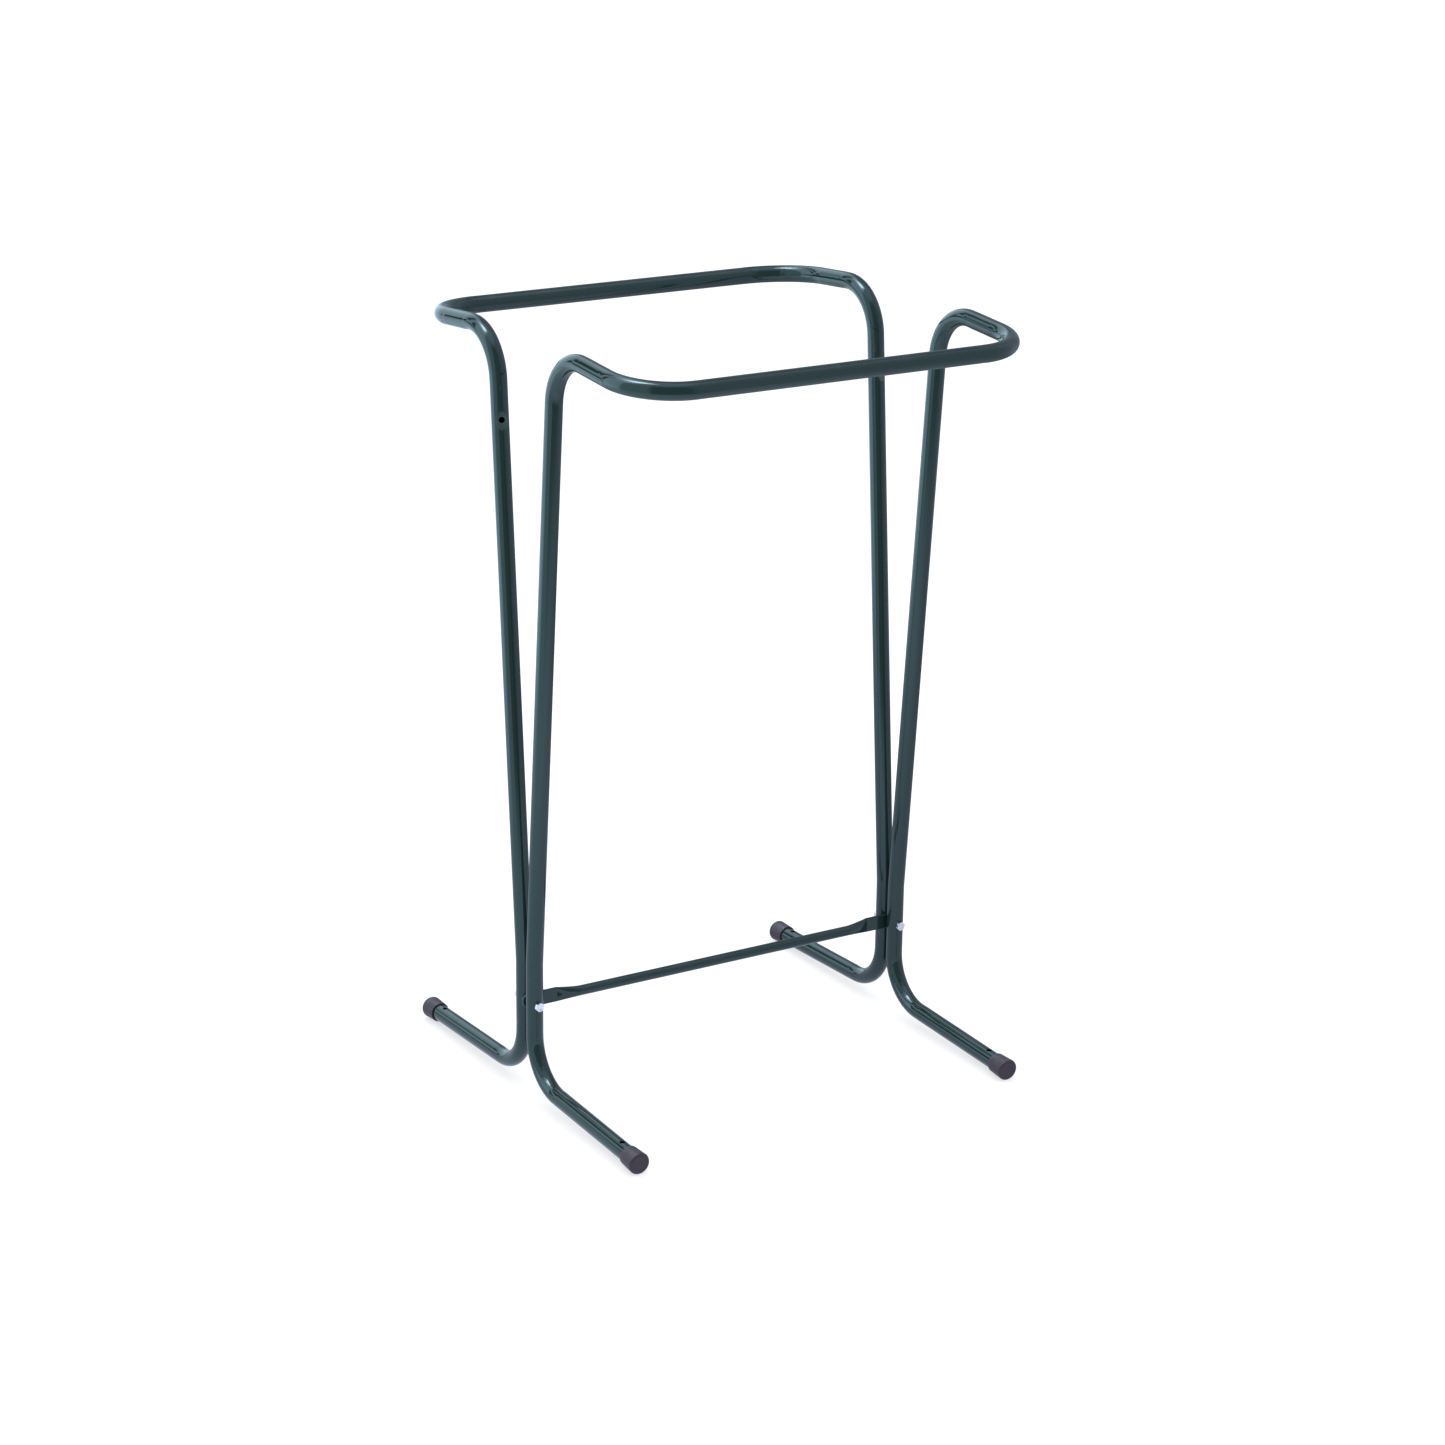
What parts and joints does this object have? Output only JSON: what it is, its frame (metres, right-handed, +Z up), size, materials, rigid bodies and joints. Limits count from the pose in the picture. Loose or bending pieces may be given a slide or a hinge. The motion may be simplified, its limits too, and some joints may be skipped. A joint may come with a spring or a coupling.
{
  "type": "bin bag holder",
  "caption": "Free-standing sack stand: two bent steel tube frames bolted back to back through a flattened crossbar, with an open rim and plastic foot caps.",
  "frame": {"origin": "on the floor in the middle of the stand", "axes": "+Z up, +X to the right along the crossbar, -Y towards the front frame, whose bolt heads show"},
  "size_m": [0.5258, 0.515, 0.8949],
  "materials": {
    "green_coating": "glossy dark green powder coating",
    "zinc_fastener": "bright zinc plating",
    "cap_plastic": "dull moulded plastic, purple-black"
  },
  "bodies": {
    "root": {"front_frame": "green_coating", "rear_frame": "green_coating", "crossbar": "green_coating", "left_bolt": "zinc_fastener", "right_bolt": "zinc_fastener", "left_nut": "zinc_fastener", "right_nut": "zinc_fastener", "front_left_foot_cap": "cap_plastic", "front_right_foot_cap": "cap_plastic", "rear_left_foot_cap": "cap_plastic", "rear_right_foot_cap": "cap_plastic"}
  },
  "joints": []
}
